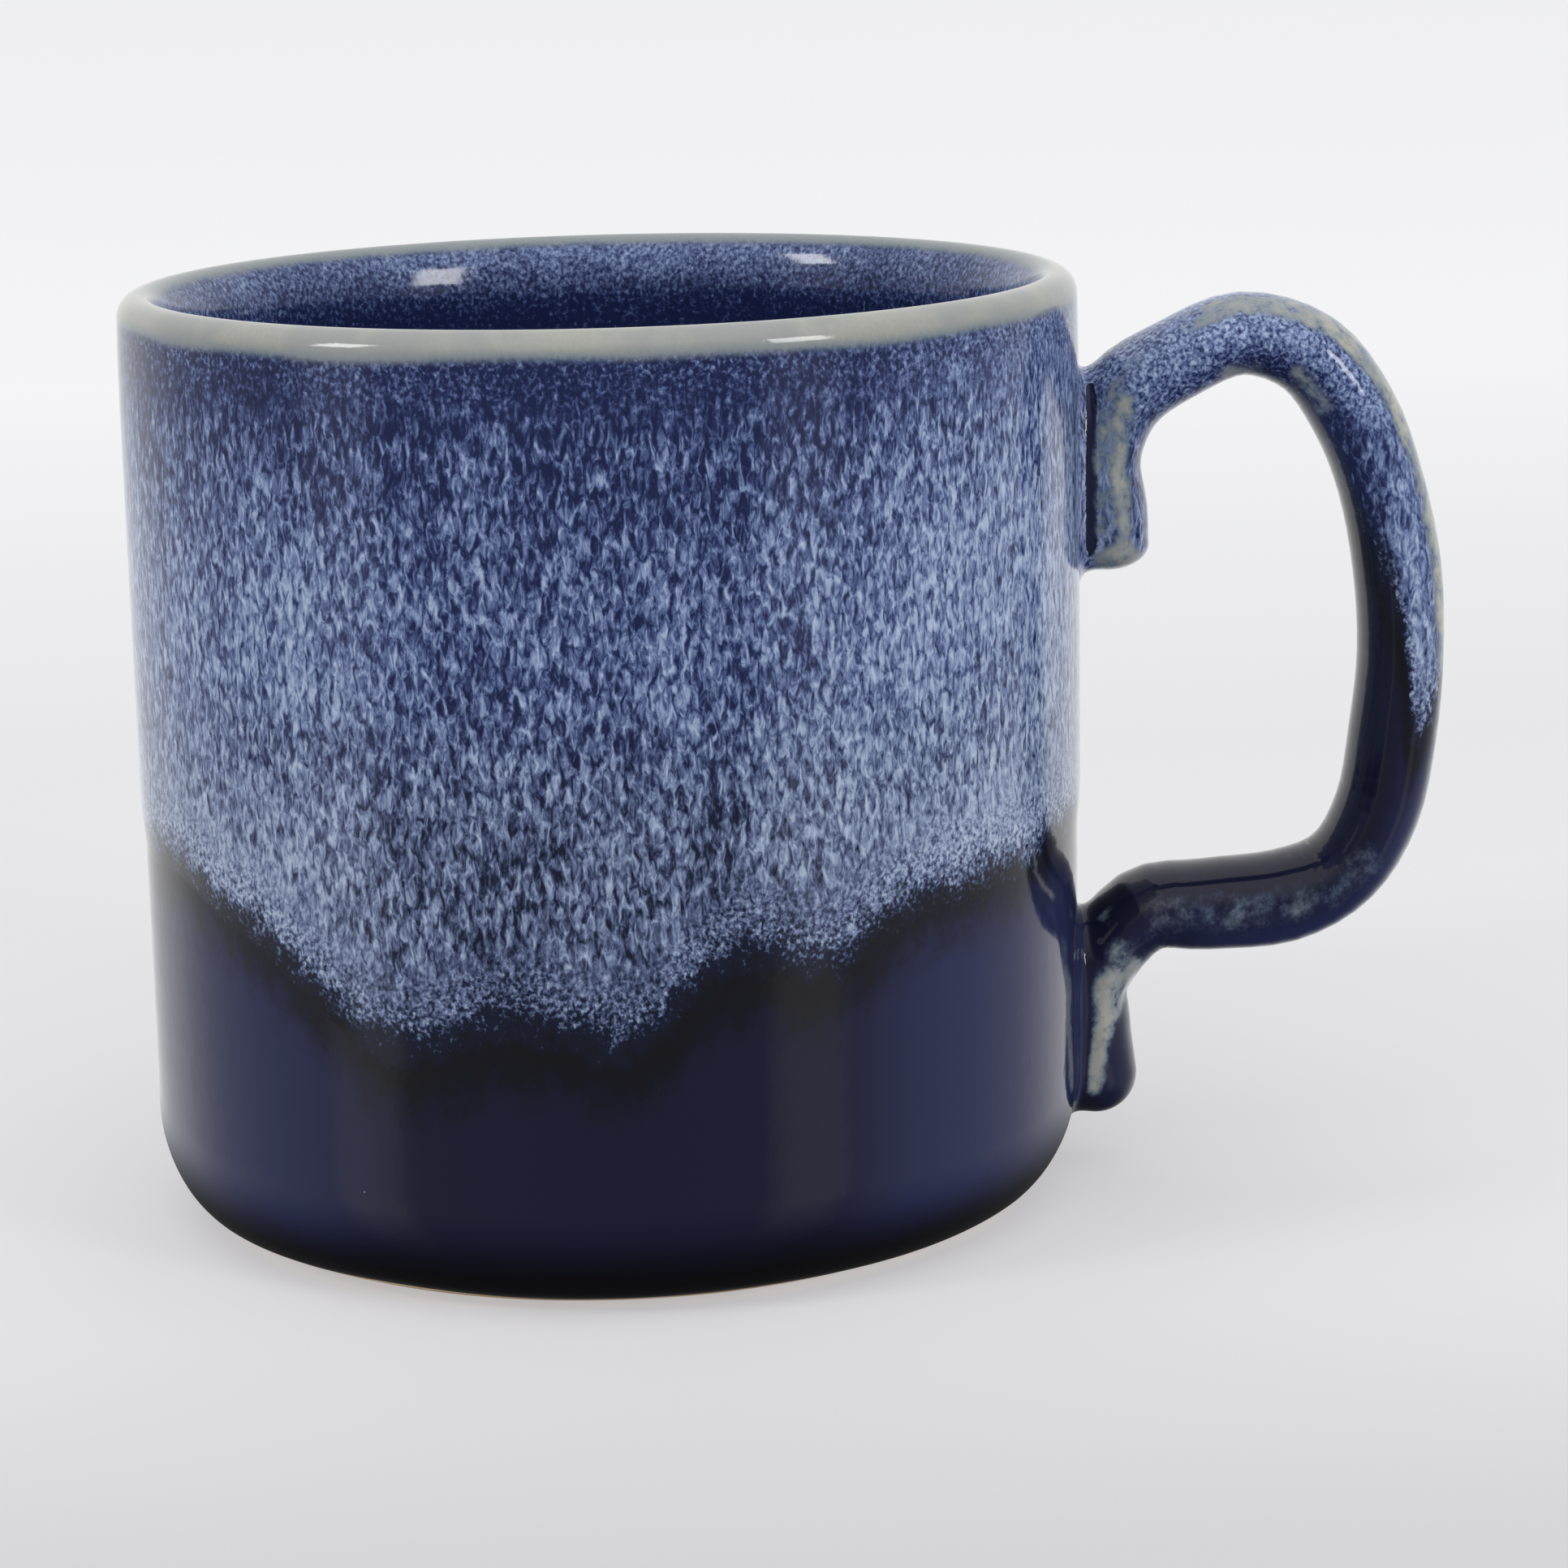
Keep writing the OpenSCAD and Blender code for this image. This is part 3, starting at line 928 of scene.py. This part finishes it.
def room_light():
    """Plain soft light from all round, and for gloss a room that is bright behind and dark in front."""
    world = bpy.data.worlds.new("soft_room")
    bpy.context.scene.world = world
    g = Graph(world)
    g.tree.nodes.clear()

    way = g.node("TexCoord").outputs["Generated"]
    x, y, z = g.node("SeparateXYZ", way).outputs
    level_way = g.node("CombineXYZ", x, y, 0.0).outputs[0]
    flat = g.node("VectorMath", level_way, operation="NORMALIZE").outputs[0]
    ahead = g.node("SeparateXYZ", flat).outputs[1]
    level = g.node("MapRange", ahead, -1.0, 1.0, 0.0, 1.0).outputs[0]
    around_room = g.colours(
        level, (0.0, (0.17, 0.17, 0.18, 1)), (0.16, (0.22, 0.22, 0.23, 1)), (0.3, (0.36, 0.36, 0.37, 1)),
        (0.55, (0.42, 0.42, 0.44, 1)), (0.72, (0.62, 0.62, 0.64, 1)), (0.85, (0.95, 0.95, 0.95, 1)),
    )
    strips = g.math("ADD", *(bright_strip(g, flat, azimuth) for azimuth in (-154, -43)))
    gloss = g.mix(g.ramp_between(z, -0.35, -0.9), around_room, (0.03, 0.03, 0.03, 1))
    gloss = g.mix(g.math("MULTIPLY", strips, g.ramp_between(z, -0.9, -0.35)), gloss, (1, 1, 1, 1))
    gloss = g.mix(g.ramp_between(z, 0.25, 0.9), gloss, (0.9, 0.9, 0.9, 1))

    soft = g.colours(
        g.node("MapRange", z, -1.0, 1.0, 0.0, 1.0).outputs[0],
        (0.5, (0.25, 0.25, 0.26, 1)), (0.75, (0.8, 0.8, 0.81, 1)), (1.0, (1.4, 1.4, 1.4, 1)),
    )
    rays = g.node("LightPath").outputs
    colour = g.mix(rays["Is Glossy Ray"], soft, gloss)
    colour = g.mix(rays["Is Camera Ray"], colour, srgb(240, 240, 241))
    background = g.node("Background", colour, 1.0)
    output = g.node("OutputWorld")
    g.feed(output.inputs[0], background.outputs[0])


def strip_light(name, azimuth, elevation, width, height, power):
    """A tall narrow softbox that faces the mug."""
    light = bpy.data.lights.new(name, "AREA")
    light.shape = "RECTANGLE"
    light.size = width
    light.size_y = height
    light.energy = power
    lamp = bpy.data.objects.new(name, light)
    bpy.context.scene.collection.objects.link(lamp)
    a, e = math.radians(azimuth), math.radians(elevation)
    away, aim_z = 2.0, 0.05
    level = away * math.cos(e)
    lamp.location = (level * math.cos(a), level * math.sin(a), aim_z + away * math.sin(e))
    lamp.rotation_euler = (math.pi / 2 - e, 0, a + math.pi / 2)


def camera():
    """The view of a long lens held a little above the rim, turned and rolled a degree or two."""
    data = bpy.data.cameras.new("camera")
    data.sensor_width = 36
    data.lens = 100.4
    data.clip_start = 0.01
    data.clip_end = 50
    eye = bpy.data.objects.new("camera", data)
    bpy.context.scene.collection.objects.link(eye)
    turned, dipped, rolled = -0.0407, 0.2181, -0.0239
    eye.matrix_world = (
        Matrix.Translation((0, -0.421, 0.1329))
        @ Matrix.Rotation(turned, 4, "Z")
        @ Matrix.Rotation(math.pi / 2 - dipped, 4, "X")
        @ Matrix.Rotation(rolled, 4, "Z")
    )
    bpy.context.scene.camera = eye


# Each new piece with the CAD node that it stands for and its material slot
clay = stoneware()
fired_glaze = glaze("speckled_blue_glaze")
handle = handle_pieces()
made = [
    (cup_clay(), "cup_body", "stoneware", clay),
    (liner_coat(), "liner_glaze", "liner_glaze", fired_glaze),
    (navy_coat(), "base_glaze", "navy_glaze", fired_glaze),
    (speckled_coat(), "speckled_glaze", "speckled_glaze", fired_glaze),
    (handle["handle_speckled_coat"], "handle_speckled_glaze", "speckled_glaze", fired_glaze),
    (handle["handle_navy_coat"], "handle_base_glaze", "navy_glaze", fired_glaze),
    (handle["upper_slip_joint"], "upper_joint_slip", "speckled_glaze", fired_glaze),
    (handle["lower_slip_joint"], "lower_joint_slip", "navy_glaze", fired_glaze),
]
for piece, node, slot, material in made:
    dress(piece, material)
    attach(piece, "root")
    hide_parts(node)
dress(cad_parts["handle_strap"], clay)

floor()
foot_shade()
room_light()
strip_light("left_strip", -158, 33, 0.38, 0.5, 8.6)
strip_light("right_strip", -42, 22, 0.46, 0.6, 11.2)
camera()
bpy.context.scene.view_settings.view_transform = "Standard"
